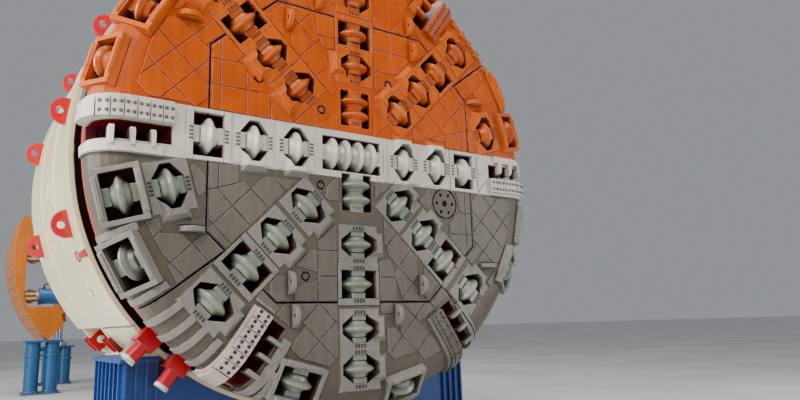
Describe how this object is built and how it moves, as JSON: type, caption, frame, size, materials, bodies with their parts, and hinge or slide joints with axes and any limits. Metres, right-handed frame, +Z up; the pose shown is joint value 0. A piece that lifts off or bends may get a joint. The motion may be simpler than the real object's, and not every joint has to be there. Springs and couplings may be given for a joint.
{
  "type": "gripper tunnel boring machine",
  "caption": "Hard-rock gripper tunnel boring machine with disc-cutter head, shields, main beam, erector, drills, gripper shoes and rear legs, on its cradle and stands.",
  "frame": {"origin": "centre of the cradle's base, on the floor under the machine's axis", "axes": "+Y from the cutterhead to the rear along the axis, +X to the right seen from the front, +Z up"},
  "size_m": [7.7872, 20.6598, 7.9111],
  "materials": {
    "head_paint": "semi-gloss warm grey",
    "orange_paint": "semi-gloss orange",
    "white_paint": "semi-gloss off-white",
    "cutter_steel": "machined",
    "red_paint": "semi-gloss red",
    "maroon_paint": "matt maroon primer",
    "cream_paint": "gloss cream",
    "ochre_paint": "semi-gloss ochre",
    "light_blue_paint": "gloss light blue",
    "blue_paint": "semi-gloss blue",
    "stand_blue": "semi-gloss blue",
    "yellow_paint": "semi-gloss yellow",
    "rod_steel": "polished",
    "bare_steel": "machined",
    "belt_rubber": "matt"
  },
  "bodies": {
    "machine": {"head_support": "cream_paint", "support_core": "cream_paint", "shield_brackets": "red_paint", "deck_cabinets": "white_paint", "drive_motors": "light_blue_paint", "invert_shield": "cream_paint", "shield_cylinders": "light_blue_paint", "main_beam_front": "cream_paint", "main_beam_rear": "cream_paint", "tow_bracket": "red_paint", "guide_rails": "bare_steel", "belt_conveyor": "belt_rubber", "work_deck": "yellow_paint", "drill_ring": "yellow_paint", "thrust_barrels": "light_blue_paint", "rear_frame": "ochre_paint", "cradle": "blue_paint", "pipe_stands": "stand_blue"},
    "cutterhead": {"head_centre_block": "head_paint", "head_right_segment": "head_paint", "head_top_segment": "orange_paint", "head_left_segment": "head_paint", "head_bottom_segment": "head_paint", "face_cutters": "cutter_steel", "gauge_cutters": "cutter_steel", "scraper_plates": "white_paint", "head_lugs": "head_paint", "rear_ring": "red_paint", "head_drum": "maroon_paint", "drum_back_plate": "maroon_paint", "drum_webs": "maroon_paint"},
    "side_shield_left": {"side_shield_left": "cream_paint"},
    "side_shield_right": {"side_shield_right": "cream_paint"},
    "roof_shield": {"roof_shield": "cream_paint"},
    "side_rods_left": {"side_rods_left": "rod_steel"},
    "side_rods_right": {"side_rods_right": "rod_steel"},
    "erector_frame": {"erector_frame": "yellow_paint"},
    "erector_ring": {"erector_ring": "orange_paint"},
    "erector_arm": {"erector_arm": "bare_steel"},
    "drill_feed_left": {"drill_feed_left": "orange_paint"},
    "drill_feed_right": {"drill_feed_right": "orange_paint"},
    "drill_hammer_left": {"drill_hammer_left": "bare_steel"},
    "drill_hammer_right": {"drill_hammer_right": "bare_steel"},
    "carriage": {"gripper_carriage": "cream_paint", "gripper_barrels": "light_blue_paint", "thrust_rods": "rod_steel"},
    "gripper_left": {"gripper_shoe_left": "ochre_paint", "gripper_rods_left": "cream_paint"},
    "gripper_right": {"gripper_shoe_right": "ochre_paint", "gripper_rods_right": "cream_paint"},
    "rear_leg_left": {"rear_leg_left": "rod_steel"},
    "rear_leg_right": {"rear_leg_right": "rod_steel"}
  },
  "joints": [
    {"name": "cutterhead_spin", "type": "hinge", "parent": "machine", "child": "cutterhead", "pos_m": [0, -2, 4.2], "axis": [0, 1, 0], "continuous": true},
    {"name": "side_shield_left_swing", "type": "hinge", "parent": "machine", "child": "side_shield_left", "pos_m": [-2.53477, 1, 1.62959], "axis": [0, -1, 0], "range_deg": [0, 1]},
    {"name": "side_shield_right_swing", "type": "hinge", "parent": "machine", "child": "side_shield_right", "pos_m": [2.53477, 1, 1.62959], "axis": [0, 1, 0], "range_deg": [0, 1]},
    {"name": "side_rods_left_push", "type": "slide", "parent": "machine", "child": "side_rods_left", "axis": [-1, 0, 0], "range_m": [0, 0.05]},
    {"name": "side_rods_right_push", "type": "slide", "parent": "machine", "child": "side_rods_right", "axis": [1, 0, 0], "range_m": [0, 0.05]},
    {"name": "roof_shield_lift", "type": "slide", "parent": "machine", "child": "roof_shield", "axis": [0, 0, 1], "range_m": [0, 0.06]},
    {"name": "erector_travel", "type": "slide", "parent": "machine", "child": "erector_frame", "axis": [0, 1, 0], "range_m": [0, 0.9]},
    {"name": "erector_spin", "type": "hinge", "parent": "erector_frame", "child": "erector_ring", "pos_m": [0, 3.9, 4.2], "axis": [0, 1, 0], "range_deg": [-180, 180]},
    {"name": "erector_reach", "type": "slide", "parent": "erector_ring", "child": "erector_arm", "axis": [0, 0, 1], "range_m": [0, 0.6]},
    {"name": "drill_left_swing", "type": "hinge", "parent": "machine", "child": "drill_feed_left", "pos_m": [0, 6.3, 4.2], "axis": [0, -1, 0], "range_deg": [-20, 85]},
    {"name": "drill_right_swing", "type": "hinge", "parent": "machine", "child": "drill_feed_right", "pos_m": [0, 6.3, 4.2], "axis": [0, 1, 0], "range_deg": [-20, 85]},
    {"name": "drill_left_feed", "type": "slide", "parent": "drill_feed_left", "child": "drill_hammer_left", "axis": [-0.5736, 0, 0.8192], "range_m": [0, 0.9]},
    {"name": "drill_right_feed", "type": "slide", "parent": "drill_feed_right", "child": "drill_hammer_right", "axis": [0.5736, 0, 0.8192], "range_m": [0, 0.9]},
    {"name": "carriage_travel", "type": "slide", "parent": "machine", "child": "carriage", "axis": [0, 1, 0], "range_m": [0, 1.8]},
    {"name": "gripper_left_push", "type": "slide", "parent": "carriage", "child": "gripper_left", "axis": [-1, 0, 0], "range_m": [-0.05, 0.8]},
    {"name": "gripper_right_push", "type": "slide", "parent": "carriage", "child": "gripper_right", "axis": [1, 0, 0], "range_m": [-0.05, 0.8]},
    {"name": "rear_leg_left_lift", "type": "slide", "parent": "machine", "child": "rear_leg_left", "axis": [0, 0, 1], "range_m": [0, 0.6]},
    {"name": "rear_leg_right_lift", "type": "slide", "parent": "machine", "child": "rear_leg_right", "axis": [0, 0, 1], "range_m": [0, 0.6]}
  ],
  "couplings": [
    {"joint": "side_rods_left_push", "follows": "side_shield_left_swing", "m_per_rad": 2.6},
    {"joint": "side_rods_right_push", "follows": "side_shield_right_swing", "m_per_rad": 2.6}
  ]
}
